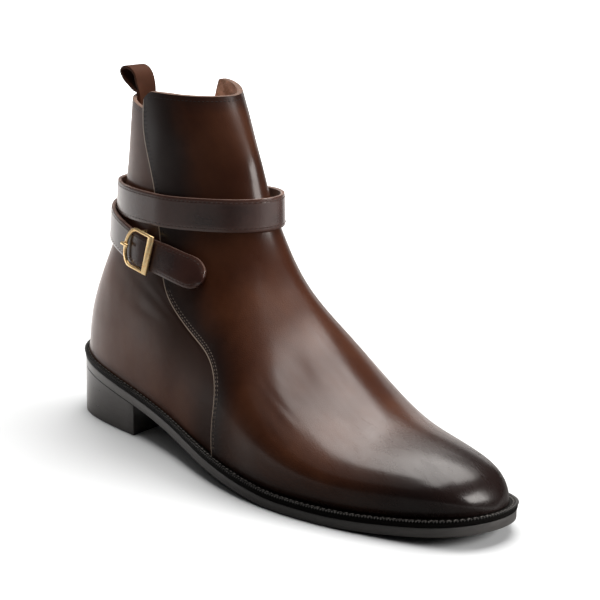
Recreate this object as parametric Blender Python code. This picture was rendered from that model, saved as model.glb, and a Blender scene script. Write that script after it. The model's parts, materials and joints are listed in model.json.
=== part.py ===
"""Strap boot for the right foot: hollow upper on a welted leather sole, a strap wound twice round the ankle.

Working frame in millimetres: X runs from the back of the heel to the toe, Y to the wearer's left (the
medial side), Z up from the floor. Every piece is moved to the centre of the whole and scaled to metres last.
"""
import math

import bmesh
import bpy
import numpy as np
from mathutils import Vector
from mathutils.bvhtree import BVHTree

METRES_PER_MM = 0.001
MERGE_WITHIN = 0.002
SHARP_ANGLE = 35.0
GAP = 0.3  # clearance that two pieces keep where they meet

# Sole: length comes from the outline, heights from these
HEEL_RISE = 28.5  # underside of the outsole at the back of the heel
TREAD_BACK, TREAD_FRONT = 196.0, 221.0  # the forefoot's flat spot on the floor
ARCH_POWER, SPRING_POWER = 1.22, 1.8
TOE_SPRING = 7.5
OUTSOLE_THICK = 4.8
WELT_THICK = 2.9
WELT_UNDER = 2.0  # how far the welt reaches in under the upper
EDGE_INSET = 0.4  # how far the outsole's and heel's edges lie inside the welt's
INSOLE_THICK = 1.8  # what stands above the welt
INSOLE_MARGIN = 1.5  # how far its edge lies inside the upper's wall
HEEL_BREAST = 67.0
HEEL_TAPER = 0.3  # how far the heel draws in from seat to floor
BREAST_HOLLOW = 4.0  # depth of the curve of the heel's front face
SOLE_STATIONS, INSOLE_STATIONS, HEEL_STATIONS, BREAST_STEPS = 56, 44, 18, 8

# Upper
WALL = 2.2
PANEL_STEP = 1.0  # the front panel lies this proud of the back quarter
UPPER_ROWS = 30
QUARTER_COLUMNS, PANEL_COLUMNS = 9, 15
FROM_BACK = 1 - np.cos(np.linspace(0, math.pi / 2, QUARTER_COLUMNS + 1))  # columns lie closer at the ends
TO_RIDGE = np.sin(np.linspace(0, math.pi / 2, PANEL_COLUMNS + 1))
RIDGE_ROOM = 0.3  # keeps the columns beside the ridge below it where the vamp is hollow
FOOT_GROWTH, FOOT_ROOM = 1.002, 0.01  # least by which a section widens above the feather line

# Strap, buckle and pull loop
STRAP_WIDTH, STRAP_THICK = 17.0, 2.1
STRAP_STEP = 6.0  # degrees between sections
STRAP_CLEAR = 0.3
SMOOTH_REACH, SMOOTH_WIDTH = 3, 1.3  # neighbours that ease a strap section, and how strongly
RAY_START = 120.0  # well outside the shaft
TIP_LENGTH, TIP_ROUND = 11.0, 2.4
TIP_END = 0.1  # what is left of the squared width at the very end
TIP_ANGLE, TIP_STEP = 15.0, 2.5  # its sections lie closer there, in degrees
BUCKLE_LENGTH = 18.4  # between the middles of its end bars
BUCKLE_ROOM = 0.7  # play between the strap's edges and the buckle's rails
RAIL, ROUND_BAR, FLAT_BAR = 1.7, 2.0, 3.0
FRAME_THICK = 1.6
ROUND_END, ROUND_STEPS = 6.8, 12  # how far the ring's back end bows
RING_LIFT = 1.05  # the ring's underside above the line between its end bars on the strap
CENTRE_BAR = 1.5
PRONG_LENGTH, PRONG_WIDTH, PRONG_OVER = 5.6, 1.8, 1.2
PRONG_SIDE, PRONG_HEIGHT = 0.7, 1.2
LOOP_WIDTH, LOOP_THICK, LOOP_ROWS, ARCH_STEPS = 13.0, 1.6, 5, 21
LOOP_RISE, LOOP_BEND = 1.0, 5.0  # over the collar it turns from the shaft's curve to straight across
LOOP_TAIL = 12.0  # length of the loop's doubled tail inside the collar
LOOP_PROBES, PROBE_TOP = 4, 0.5  # places down the tail where it keeps clear of the wall

# Plan of the sole, lateral side first and then back along the medial side
OUTLINE_COLUMNS = ("place", "x", "y")
OUTLINE = (
    ("heel back", 0.0, 0.0),
    ("heel corner, lateral", 11.0, -24.0),
    ("heel side, lateral", 34.0, -33.0),
    ("breast, lateral", 70.0, -36.5),
    ("waist, lateral", 105.0, -42.5),
    ("fifth joint", 142.0, -52.5),
    ("ball, lateral", 180.0, -57.5),
    ("forepart, lateral", 222.0, -53.5),
    ("toe side, lateral", 264.0, -40.0),
    ("toe corner, lateral", 292.0, -23.0),
    ("toe tip", 299.0, -3.0),
    ("toe corner, medial", 292.5, 15.5),
    ("toe side, medial", 266.0, 29.5),
    ("forepart, medial", 236.0, 39.0),
    ("ball, medial", 206.0, 44.5),
    ("first joint", 176.0, 42.0),
    ("waist, medial", 128.0, 31.5),
    ("breast, medial", 74.0, 31.5),
    ("heel side, medial", 34.0, 32.5),
    ("heel corner, medial", 11.0, 24.0),
)

OUTLINE_SAMPLES = 720

# Width of welt that shows outside the upper, by distance from the heel
WELT_MARGIN = ((0.0, 0.9), (60.0, 2.0), (110.0, 2.6), (160.0, 3.6), (215.0, 4.6), (300.0, 4.6))

# Sections of the last, fanned from the toe over the vamp to the collar. Each runs from a base on the feather
# line, or on the back line where base_z is given, to the ridge. spread is how far the widest part stands out
# past the feather line, belly where it lies from base to ridge, low and top how square the two parts are.
SECTION_COLUMNS = (
    "base_x", "base_z", "base_y", "ridge_x", "ridge_z", "crest_y",
    "lateral_spread", "medial_spread", "belly", "low", "top",
)
SECTIONS = (
    (294.4, None, -3.0, 294.4, 14.6, -3.0, 0.0, 0.0, 0.40, 2.3, 2.4),
    (292.6, None, 0.0, 292.8, 20.6, -3.0, 0.3, 0.0, 0.40, 2.3, 2.4),
    (286.6, None, 0.0, 286.8, 27.8, -3.0, 0.8, 0.0, 0.38, 2.3, 2.3),
    (276.6, None, 0.0, 277.0, 33.2, -2.5, 1.2, 0.3, 0.36, 2.3, 2.25),
    (262.0, None, 0.0, 262.4, 36.4, -2.0, 1.6, 0.5, 0.34, 2.3, 2.1),
    (243.0, None, 0.0, 243.6, 38.8, -1.0, 1.8, 0.6, 0.31, 2.3, 1.85),
    (219.0, None, 0.0, 220.0, 43.4, 0.0, 1.8, 0.4, 0.29, 2.2, 1.72),
    (193.0, None, 0.0, 196.4, 56.4, 1.0, 1.8, 1.0, 0.29, 2.2, 1.75),
    (166.0, None, 0.0, 175.2, 72.8, 2.5, 1.8, 2.5, 0.29, 2.2, 1.85),
    (138.0, None, 0.0, 156.6, 86.6, 3.5, 1.5, 4.0, 0.28, 2.1, 1.9),
    (109.0, None, 0.0, 142.2, 99.6, 4.0, 1.0, 5.0, 0.27, 2.1, 1.95),
    (80.0, None, 0.0, 132.4, 113.0, 4.5, 0.6, 4.0, 0.25, 2.1, 2.0),
    (52.0, None, 0.0, 125.2, 126.5, 4.5, 0.4, 2.0, 0.24, 2.1, 2.0),
    (26.0, None, 0.0, 119.9, 138.7, 4.5, 0.0, 0.4, 0.26, 2.1, 2.0),
    (2.4, None, 0.0, 117.0, 149.0, 4.5, -1.2, -1.2, 0.30, 2.1, 2.0),
    (4.0, 62.0, 0.5, 112.4, 157.5, 5.0, -3.4, -3.2, 0.40, 2.1, 2.0),
    (17.0, 98.0, 2.0, 107.6, 166.0, 5.0, -6.5, -5.5, 0.46, 2.1, 2.0),
    (23.8, 133.0, 3.5, 103.2, 174.0, 5.5, -7.2, -6.8, 0.50, 2.1, 2.0),
    (25.0, 160.0, 4.5, 100.0, 180.0, 5.5, -8.4, -8.4, 0.50, 2.1, 2.0),
    (26.0, 184.0, 5.0, 97.4, 185.5, 5.5, -10.2, -10.2, 0.50, 2.1, 2.0),
)

# How the grid's rows share out the panel's edge and the ridge, from feather line to collar
ROW_COLUMNS = ("row", "edge", "ridge")
ROW_PLAN = (
    (0.0, 0.0, 0.0), (0.1, 0.045, 0.055), (0.2, 0.095, 0.135), (0.36, 0.19, 0.32), (0.6, 0.46, 0.56),
    (0.8, 0.73, 0.78), (1.0, 1.0, 1.0),
)

# Rear edge of the front panel, seen from the side, from the feather line to the quarter's collar
PANEL_EDGE_COLUMNS = ("z", "lateral_x", "medial_x")
PANEL_EDGE = (
    (14.0, 147.0, 147.0), (28.0, 146.5, 146.5), (44.0, 145.5, 145.5), (56.5, 136.0, 136.0),
    (65.0, 114.0, 114.0), (74.0, 95.0, 95.0), (86.0, 82.0, 83.0), (104.0, 76.0, 78.0),
    (128.0, 69.0, 73.0), (150.0, 60.0, 68.0), (166.0, 53.0, 63.0), (174.5, 50.5, 61.0),
)
PANEL_CORNER = {-1: 0.36, 1: 0.51}  # where the panel's corner lies along the collar, lateral and medial
CORNER_ROUND, CORNER_SHARE = 4.6, 0.1  # how far that corner is rounded, down and along the panel's collar
COLLAR_CROWN = {-1: 0.0, 1: 4.5}  # how far the panel's collar arches up on each side
COLLAR_DROP = 6.0  # the quarter's collar lies this far below the panel's at the back

# The strap's run round the ankle: angle from straight ahead turning to the medial side, height of its
# middle, how far it stands off what it lies on, and how much of the shaft's slope it follows
ANKLE_AXIS = (74.0, 4.0)
STRAP_COLUMNS = ("angle", "height", "stand_off", "lean")
STRAP_RUN = (
    (146.0, 124.5, 0.0, 0.2), (180.0, 124.0, 0.0, 0.2), (225.0, 124.3, 0.0, 0.2), (270.0, 124.5, 0.0, 0.2),
    (300.0, 125.2, 0.2, 0.2), (330.0, 127.0, 0.3, 0.15), (360.0, 128.6, 0.3, 0.1), (390.0, 127.6, 0.3, 0.15),
    (420.0, 124.6, 0.2, 0.2), (450.0, 120.8, 0.0, 0.2), (480.0, 117.0, 0.0, 0.2), (510.0, 114.4, 0.0, 0.2),
    (540.0, 112.4, 0.0, 0.2), (568.0, 109.0, 0.0, 0.2), (594.0, 104.5, 0.0, 0.5), (614.0, 101.7, 2.6, 0.8),
    (633.0, 100.0, 0.3, 0.95), (649.0, 98.8, 0.0, 1.0), (664.0, 97.4, 0.0, 1.0), (682.0, 95.6, 0.0, 1.0),
)
BUCKLE_ANGLE = 614.0

# Side outline of the pull loop above the collar, from behind over its top to the front: distances ahead of
# the back of its tail and above the quarter's collar
LOOP_OUTLINE = (
    (-2.8, 1.3), (-6.6, 4.6), (-10.6, 8.2), (-12.3, 10.9), (-10.7, 13.5), (-6.3, 14.6), (-1.4, 13.1),
    (1.7, 9.4), (3.0, 4.6),
)
LOOP_MIDDLE_Y = 2.5

# Colour, roughness and metallic of each piece
BROWN, BLACK, BRASS = (0.075, 0.030, 0.016), (0.010, 0.009, 0.009), (0.80, 0.56, 0.24)
FINISHES = {
    "upper": (BROWN, 0.38, 0.0),
    "insole": ((0.30, 0.17, 0.08), 0.7, 0.0),
    "welt": (BLACK, 0.45, 0.0),
    "outsole": (BLACK, 0.4, 0.0),
    "heel": (BLACK, 0.4, 0.0),
    "strap": ((0.05, 0.020, 0.012), 0.36, 0.0),
    "buckle_frame": (BRASS, 0.18, 1.0),
    "buckle_centre_bar": (BRASS, 0.18, 1.0),
    "buckle_prong": (BRASS, 0.18, 1.0),
    "pull_loop": ((0.11, 0.045, 0.025), 0.45, 0.0),
}


def cubic(knots, values, closed=False):
    """A smooth curve through rows of values, as a function of the knots' own parameter."""
    knots = np.asarray(knots, float)
    values = np.asarray(values, float).reshape(len(values), -1)
    step = np.diff(knots)
    count = len(values)
    matrix = np.zeros((count, count))
    right = np.zeros_like(values)
    slope = np.diff(values, axis=0) / step[:, None]
    if closed:
        span = np.append(step, step[0])
        rise = np.vstack([slope, slope[:1]])
        for i in range(count - 1):
            before, after = (i - 1) % (count - 1), (i + 1) % (count - 1)
            matrix[i, before] += span[before]
            matrix[i, i] += 2 * (span[before] + span[i])
            matrix[i, after] += span[i]
            right[i] = 6 * (rise[i] - rise[before])
        matrix[-1, -1], matrix[-1, 0] = 1, -1
    else:
        matrix[0, 0] = matrix[-1, -1] = 1
        for i in range(1, count - 1):
            matrix[i, i - 1], matrix[i, i + 1] = step[i - 1], step[i]
            matrix[i, i] = 2 * (step[i - 1] + step[i])
            right[i] = 6 * (slope[i] - slope[i - 1])
    bend = np.linalg.solve(matrix, right)

    def at(where):
        where = np.atleast_1d(np.asarray(where, float))
        i = np.clip(np.searchsorted(knots, where) - 1, 0, count - 2)
        h = step[i][:, None]
        a = ((knots[i + 1] - where)[:, None]) / h
        b = 1 - a
        return (a * values[i] + b * values[i + 1]
                + ((a**3 - a) * bend[i] + (b**3 - b) * bend[i + 1]) * h**2 / 6)

    return at


def along(points, closed=False):
    """The smooth curve through the points with its parameter running evenly from 0 to 1."""
    points = np.asarray(points, float)
    if closed:
        points = np.vstack([points, points[:1]])
    chord = np.append(0, np.cumsum(np.linalg.norm(np.diff(points, axis=0), axis=1)))
    curve = cubic(chord, points, closed)
    fine = np.linspace(0, chord[-1], 800)
    length = np.append(0, np.cumsum(np.linalg.norm(np.diff(curve(fine), axis=0), axis=1)))
    return lambda t: curve(np.interp(np.atleast_1d(t) * length[-1], length, fine))


def column(table, columns, name):
    return [row[columns.index(name)] for row in table]


class Plan:
    """An outline of the sole seen from above, drawn in by a margin, as one edge for each side."""

    def __init__(self, inset=0.0, by_margin=0.0):
        corners = np.stack([column(OUTLINE, OUTLINE_COLUMNS, axis) for axis in ("x", "y")], 1)
        loop = along(corners, closed=True)(np.linspace(0, 1, OUTLINE_SAMPLES + 1)[:-1])
        ahead = np.roll(loop, -1, 0) - np.roll(loop, 1, 0)
        inward = np.stack([-ahead[:, 1], ahead[:, 0]], 1) / np.linalg.norm(ahead, axis=1)[:, None]
        stations, margins = zip(*WELT_MARGIN)
        draw_in = inset + by_margin * np.interp(loop[:, 0], stations, margins)
        loop = loop + inward * draw_in[:, None]
        back, tip = loop[:, 0].argmin(), loop[:, 0].argmax()
        loop = np.roll(loop, -back, 0)
        tip = (tip - back) % len(loop)
        self.back, self.tip = loop[0], loop[tip]
        self.edges = {-1: loop[: tip + 1], 1: np.vstack([loop[tip:], loop[:1]])[::-1]}

    def side(self, x, side):
        """Y of the edge on one side, -1 lateral and 1 medial."""
        edge = self.edges[side]
        return np.interp(x, edge[:, 0], edge[:, 1])

    def stations(self, count):
        """X places from back to front, closer together at the round ends."""
        turn = np.linspace(0, math.pi, count + 1)
        return self.back[0] + (self.tip[0] - self.back[0]) * (1 - np.cos(turn)) / 2


def sole_under(x):
    """Height of the outsole's underside: arch behind the tread, spring in front of it."""
    arch = HEEL_RISE * (np.clip(TREAD_BACK - x, 0, None) / TREAD_BACK) ** ARCH_POWER
    reach = SOLE.tip[0] - TREAD_FRONT
    spring = TOE_SPRING * (np.clip(x - TREAD_FRONT, 0, None) / reach) ** SPRING_POWER
    return arch + spring


def feather_height(x):
    return sole_under(x) + OUTSOLE_THICK + WELT_THICK + 2 * GAP


SOLE = Plan()
FEATHER = Plan(by_margin=1.0)


class Last:
    """The upper's outer form: half widths over the side view, from the fanned sections."""

    def __init__(self):
        rows = [dict(zip(SECTION_COLUMNS, row)) for row in SECTIONS]
        for row in rows:
            if row["base_z"] is None:
                row["base_z"] = float(feather_height(row["base_x"]))
        rows[0].update(base_x=FEATHER.tip[0], ridge_x=FEATHER.tip[0], base_y=FEATHER.tip[1])
        rows[0]["base_z"] = rows[0]["ridge_z"] = float(feather_height(FEATHER.tip[0]))
        self.heel_row = max(i for i, row in enumerate(SECTIONS) if row[1] is None)
        rows[self.heel_row]["base_x"] = FEATHER.back[0]
        self.last_row = len(rows) - 1
        table = np.array([[row[name] for name in SECTION_COLUMNS] for row in rows])
        self.under = cubic(range(self.heel_row + 1), table[: self.heel_row + 1, :3])
        self.behind = cubic(range(self.heel_row, len(rows)), table[self.heel_row:, :3])
        self.over = cubic(range(len(rows)), table[:, 3:])
        self.fine = np.linspace(0, self.last_row, 1600)
        self.fan = self.at(self.fine)
        self.base, self.ridge = self.fan[:, 0:2], self.fan[:, 3:5]

    def at(self, row):
        """Values of the sections' table between its rows; the base turns a corner at the heel."""
        row = np.atleast_1d(np.asarray(row, float))
        base = np.where((row < self.heel_row)[:, None], self.under(row), self.behind(row))
        return np.hstack([base, self.over(row)])

    def back_line(self, t):
        return self.at(self.heel_row + np.asarray(t) * (self.last_row - self.heel_row))[:, 0:2]

    def section(self, x, z):
        """The row of the fan through a place in the side view, and the place's share from base to ridge."""
        reach = self.ridge - self.base
        off = np.array([x, z]) - self.base
        cross = reach[:, 0] * off[:, 1] - reach[:, 1] * off[:, 0]
        share = np.einsum("ij,ij->i", off, reach) / np.maximum(np.einsum("ij,ij->i", reach, reach), 1e-9)
        crossed = (np.sign(cross[:-1]) != np.sign(cross[1:])) & (np.abs(share[:-1] - 0.5) < 0.6)
        crossed[0] = False
        flips = np.nonzero(crossed)[0]
        if len(flips) == 0:
            apart = np.linalg.norm(off - reach * np.clip(share, 0, 1)[:, None], axis=1)
            row = self.fine[int(apart.argmin())]
        else:
            i = min(flips, key=lambda n: abs(share[n] - 0.5))
            row = self.fine[i] + (self.fine[1] - self.fine[0]) * cross[i] / (cross[i] - cross[i + 1])
        s = dict(zip(SECTION_COLUMNS, self.at(row)[0]))
        dx, dz = s["ridge_x"] - s["base_x"], s["ridge_z"] - s["base_z"]
        p = ((x - s["base_x"]) * dx + (z - s["base_z"]) * dz) / max(dx * dx + dz * dz, 1e-9)
        return row, s, min(max(p, 0.0), 1.0)

    def surface(self, x, z, side, most=1.0):
        """The surface's point on one side at a place in the side view, kept below most of its section."""
        row, s, p = self.section(x, z)
        if p > most:
            p = most
            x = s["base_x"] + p * (s["ridge_x"] - s["base_x"])
            z = s["base_z"] + p * (s["ridge_z"] - s["base_z"])
        middle = s["base_y"] + (s["crest_y"] - s["base_y"]) * p
        return x, middle + side * self.half(s, row, p, side), z

    def half(self, s, row, p, side):
        base_x = min(max(s["base_x"], FEATHER.back[0]), FEATHER.tip[0])
        foot = abs(float(FEATHER.side(base_x, side)) - s["base_y"]) if row < self.heel_row else 0.0
        envelope = abs(float(FEATHER.side(max(base_x, HEEL_BREAST / 2), side)))
        if row < 1:
            envelope = foot
        spread = s["lateral_spread" if side < 0 else "medial_spread"]
        widest = max(envelope + spread, foot * FOOT_GROWTH + FOOT_ROOM)
        if p < s["belly"]:
            start = math.sqrt(1 - (foot / widest) ** s["low"])
            q, power = start * (1 - p / s["belly"]), s["low"]
        else:
            q, power = (p - s["belly"]) / (1 - s["belly"]), s["top"]
        return widest * max(1 - q * q, 0.0) ** (1 / power)


LAST = Last()


def coons(bottom, top, left, right, across, up):
    """Points between four curves in the side view, one for each pair of across and up."""
    low, high = bottom(across)[None], top(across)[None]
    near, far = left(up)[:, None], right(up)[:, None]
    u, v = across[None, :, None], up[:, None, None]
    corners = ((1 - u) * (1 - v) * low[:, :1] + u * (1 - v) * low[:, -1:]
               + (1 - u) * v * high[:, :1] + u * v * high[:, -1:])
    return (1 - v) * low + v * high + (1 - u) * near + u * far - corners


def straight(first, last):
    return lambda t: first + (last - first) * np.atleast_1d(t)[:, None]


def upper_side_view(side):
    """Side-view places of the upper's grid on one side: the back quarter's and the front panel's."""
    shares = cubic(column(ROW_PLAN, ROW_COLUMNS, "row"), [row[1:] for row in ROW_PLAN])
    up, over = shares(np.linspace(0, 1, UPPER_ROWS + 1)).T
    seam_x = column(PANEL_EDGE, PANEL_EDGE_COLUMNS, "lateral_x" if side < 0 else "medial_x")
    edge = along(np.stack([seam_x, column(PANEL_EDGE, PANEL_EDGE_COLUMNS, "z")], 1))
    ridge = along(LAST.ridge[::8])
    back = along(LAST.back_line(np.linspace(0, 1, 40)))
    collar = straight(back(1)[0], ridge(1)[0])
    corner = collar(PANEL_CORNER[side])[0]

    def feather(first, last):
        def at(t):
            x = first + (last - first) * np.atleast_1d(t)
            return np.stack([x, feather_height(x)], 1)
        return at

    def quarter_back(t):
        line = back(t)
        line[:, 1] -= COLLAR_DROP * np.asarray(t) ** 4
        return line

    def panel_collar(t):
        t = np.atleast_1d(t)
        line = straight(corner, ridge(1)[0])(t)
        line[:, 1] += COLLAR_CROWN[side] * np.sin(math.pi * np.sqrt(t))
        line[:, 1] -= CORNER_ROUND * np.clip(1 - t / CORNER_SHARE, 0, None) ** 2
        return line

    def listed(points):
        return lambda t: np.stack([np.interp(t, up, points[:, i]) for i in (0, 1)], 1)

    quarter_seam = edge(up)
    quarter_seam[0, 1] = float(feather_height(quarter_seam[0, 0]))
    panel_seam = quarter_seam.copy()
    panel_seam[-1] = panel_collar(0)[0]
    foot_x = quarter_seam[0, 0]
    quarter = coons(
        feather(FEATHER.back[0], foot_x), straight(quarter_back(1)[0], quarter_seam[-1]), quarter_back,
        listed(quarter_seam), FROM_BACK, up,
    )
    panel = coons(
        feather(foot_x, FEATHER.tip[0]), panel_collar, listed(panel_seam),
        lambda t: ridge(np.interp(t, up, over)), TO_RIDGE, up,
    )
    return quarter, panel


def upper_form():
    """Ring grid of the upper's middle form, and for each column whether the panel covers it."""
    sides = {}
    limits = np.ones_like(FROM_BACK), 1 - RIDGE_ROOM * (1 - TO_RIDGE)
    for side in (-1, 1):
        halves = []
        for patch, most in zip(upper_side_view(side), limits):
            points = np.empty(patch.shape[:2] + (3,))
            for i, row in enumerate(patch):
                for j, (x, z) in enumerate(row):
                    if i:
                        points[i, j] = LAST.surface(x, z, side, most[j])
                    else:
                        points[i, j] = x, float(FEATHER.side(x, side)), z
            halves.append(points)
        sides[side] = halves
    lateral_quarter, lateral_panel = sides[-1]
    medial_quarter, medial_panel = sides[1]
    for left, right, j in ((lateral_quarter, medial_quarter, 0), (lateral_panel, medial_panel, -1)):
        left[:, j] = right[:, j] = (left[:, j] + right[:, j]) / 2
    grid = np.concatenate(
        [lateral_quarter, lateral_panel, medial_panel[:, -2::-1], medial_quarter[:, :0:-1]], axis=1
    )
    covered = np.array(
        [False] * (QUARTER_COLUMNS + 1) + [True] * (2 * PANEL_COLUMNS + 1) + [False] * QUARTER_COLUMNS
    )
    return grid, covered


def grid_normals(grid):
    """Outward directions of a ring grid; doubled columns share one direction."""
    around = np.roll(grid, -2, 1) - np.roll(grid, 2, 1)
    up = np.gradient(grid, axis=0)
    normal = np.cross(around, up)
    return normal / np.linalg.norm(normal, axis=2)[:, :, None]


def closing_faces(last, columns):
    """Quads from a ring grid's last row back to its first."""
    start = last * columns
    return [(start + j, start + (j + 1) % columns, (j + 1) % columns, j) for j in range(columns)]


def ring_faces(rows, columns, offset=0, flip=False):
    faces = []
    for i in range(rows - 1):
        for j in range(columns):
            a, b = offset + i * columns + j, offset + i * columns + (j + 1) % columns
            quad = (a, b, b + columns, a + columns)
            faces.append(quad[::-1] if flip else quad)
    return faces


def upper_mesh():
    grid, covered = upper_form()
    normal = grid_normals(grid)
    outer = grid + normal * np.where(covered, PANEL_STEP, 0.0)[None, :, None]
    inner = grid - normal * WALL
    for ring in (outer, inner):
        ring[0, :, 2] = feather_height(ring[0, :, 0])
    inner[-1, :, 2] = outer[-1, :, 2]
    rows, columns = outer.shape[:2]
    points = np.concatenate([outer.reshape(-1, 3), inner.reshape(-1, 3)])
    below = rows * columns
    faces = ring_faces(rows, columns) + ring_faces(rows, columns, below, flip=True)
    for row, flip in ((0, True), (rows - 1, False)):
        for j in range(columns):
            a, b = row * columns + j, row * columns + (j + 1) % columns
            quad = (a, b, b + below, a + below)
            faces.append(quad[::-1] if flip else quad)
    return points, faces


def plate_mesh(plan, low, high, count):
    """A sole layer: matched stations on both sides, low and high as heights over x."""
    points, faces = [], []
    for x in plan.stations(count):
        for side in (-1, 1):
            y = float(plan.side(x, side))
            points += [(x, y, float(low(x))), (x, y, float(high(x)))]
    for i in range(count):
        a, b = 4 * i, 4 * (i + 1)
        faces += [(a, a + 2, b + 2, b), (a + 1, b + 1, b + 3, a + 3)]
        faces += [(a, b, b + 1, a + 1), (a + 2, a + 3, b + 3, b + 2)]
    end = 4 * count
    faces += [(0, 1, 3, 2), (end, end + 2, end + 3, end + 1)]
    return points, faces


def welt_mesh(count):
    """The welt: a flat ring between the sole's edge and a line under the upper's wall."""
    inner_plan = Plan(inset=WELT_UNDER, by_margin=1.0)
    outer, inner = [], []
    for plan, line in ((SOLE, outer), (inner_plan, inner)):
        xs = plan.stations(count)
        line += [(x, float(plan.side(x, -1))) for x in xs]
        line += [(x, float(plan.side(x, 1))) for x in xs[-2:0:-1]]
    columns = len(outer)
    rings = []
    for line, lift in ((outer, 0.0), (outer, WELT_THICK), (inner, WELT_THICK), (inner, 0.0)):
        rings.append([(x, y, float(sole_under(x)) + OUTSOLE_THICK + GAP + lift) for x, y in line])
    points = np.array(rings).reshape(-1, 3)
    faces = ring_faces(4, columns) + closing_faces(3, columns)
    return points, faces


def heel_mesh(count):
    """The heel block: the sole's outline at the seat, drawn in at the floor, with a hollow breast."""
    rings = []
    for inset, on_floor in ((EDGE_INSET, False), (EDGE_INSET + HEEL_TAPER, True)):
        plan = Plan(inset=inset)
        turn = np.linspace(0, math.pi / 2, count + 1)
        xs = plan.back[0] + (HEEL_BREAST - plan.back[0]) * (1 - np.cos(turn))
        line = [(x, float(plan.side(x, -1))) for x in xs[::-1]]
        line += [(x, float(plan.side(x, 1))) for x in xs[1:]]
        left, right = line[-1][1], line[0][1]
        for t in np.linspace(0, 1, BREAST_STEPS + 1)[1:-1]:
            line.append((HEEL_BREAST - BREAST_HOLLOW * 4 * t * (1 - t), left + (right - left) * t))
        rings.append([(x, y, 0.0 if on_floor else float(sole_under(x)) - GAP) for x, y in line])
    top, bottom = rings
    columns = len(top)
    points = bottom + top
    faces = [(j, (j + 1) % columns, columns + (j + 1) % columns, columns + j) for j in range(columns)]
    return points, faces, columns


def surface_tree(points, faces):
    return BVHTree.FromPolygons([Vector(p) for p in points], faces)


def reach_out(tree, angle, height):
    """Distance from the ankle's axis to the farthest surface that way."""
    way = Vector((math.cos(angle), math.sin(angle), 0))
    start = Vector((ANKLE_AXIS[0], ANKLE_AXIS[1], height)) + way * RAY_START
    hit = tree.ray_cast(start, -way)[0]
    return 0.0 if hit is None else (hit - Vector((ANKLE_AXIS[0], ANKLE_AXIS[1], height))).length


def smoothed(values):
    """Values along the strap, each averaged with its neighbours."""
    weights = np.exp(-0.5 * (np.arange(-SMOOTH_REACH, SMOOTH_REACH + 1) / SMOOTH_WIDTH) ** 2)
    padded = np.pad(values, SMOOTH_REACH, mode="reflect", reflect_type="odd")
    return np.convolve(padded, weights / weights.sum(), "valid")


def eased(need):
    """A smooth run of distances that is nowhere less than what is needed."""
    smooth = smoothed(need)
    for _ in range(3):
        smooth = smooth + smoothed(np.clip(need - smooth, 0, None))
    return np.maximum(smooth, need)


def strap_path(tree):
    """Sections of the strap as middle, outward way and upward way."""
    run = cubic(column(STRAP_RUN, STRAP_COLUMNS, "angle"), [row[1:] for row in STRAP_RUN])
    first, last = STRAP_RUN[0][0], STRAP_RUN[-1][0]
    angles = np.linspace(first, last, int(round((last - first) / STRAP_STEP)) + 1)
    heights, stand_offs, share = run(angles).T
    across = STRAP_WIDTH * np.linspace(-0.5, 0.5, 5)
    reach = np.array([
        [max(reach_out(tree, math.radians(angle + turn), height + b) for turn in (-1, 0, 1)) for b in across]
        for angle, height in zip(angles, heights)
    ])
    lean = smoothed(share * (reach @ across) / (across @ across))
    reach = (reach - lean[:, None] * across).max(axis=1)
    need = reach + STRAP_CLEAR + stand_offs + STRAP_THICK / 2
    once_round = angles - 360
    below = np.interp(once_round, angles, eased(need)) + STRAP_THICK + GAP
    overlap = np.abs(heights - np.interp(once_round, angles, heights)) < STRAP_WIDTH + GAP
    need = np.where((once_round >= first) & overlap, np.maximum(need, below), need)
    distance, slope = cubic(angles, eased(need)), cubic(angles, lean)
    angles = np.append(angles[angles < last - TIP_ANGLE], np.arange(last - TIP_ANGLE, last + 0.01, TIP_STEP))
    heights, radius, lean = run(angles)[:, 0], distance(angles)[:, 0], slope(angles)
    turn = np.radians(angles)
    out = np.stack([np.cos(turn), np.sin(turn), np.zeros_like(turn)], 1)
    middle = out * radius[:, None] + np.stack([np.full_like(turn, c) for c in ANKLE_AXIS] + [heights], 1)
    ahead = np.gradient(middle, axis=0)
    ahead /= np.linalg.norm(ahead, axis=1)[:, None]
    up = np.array([0, 0, 1.0]) + out * lean
    up -= ahead * np.einsum("ij,ij->i", up, ahead)[:, None]
    up /= np.linalg.norm(up, axis=1)[:, None]
    out = np.cross(ahead, up)
    return angles, middle, out, up


def band_mesh(middle, out, up, widths, thick):
    """A flat band of four corners along its sections, closed at both ends."""
    points, faces = [], []
    for m, o, u, w in zip(middle, out, up, widths):
        for a, b in ((-1, -1), (1, -1), (1, 1), (-1, 1)):
            points.append(m + o * a * thick / 2 + u * b * w / 2)
    count = len(middle)
    for i in range(count - 1):
        for j in range(4):
            a, b = 4 * i + j, 4 * i + (j + 1) % 4
            faces.append((a, b, b + 4, a + 4))
    faces += [(3, 2, 1, 0), tuple(4 * (count - 1) + j for j in range(4))]
    return points, faces


def strap_mesh(tree):
    angles, middle, out, up = strap_path(tree)
    left = np.append(np.cumsum(np.linalg.norm(np.diff(middle, axis=0), axis=1)[::-1])[::-1], 0)
    narrowing = (1 - np.minimum(left / TIP_LENGTH, 1)) ** TIP_ROUND
    widths = STRAP_WIDTH * np.sqrt(np.clip(1 - narrowing, TIP_END, 1))
    return band_mesh(middle, out, up, widths, STRAP_THICK)


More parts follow.
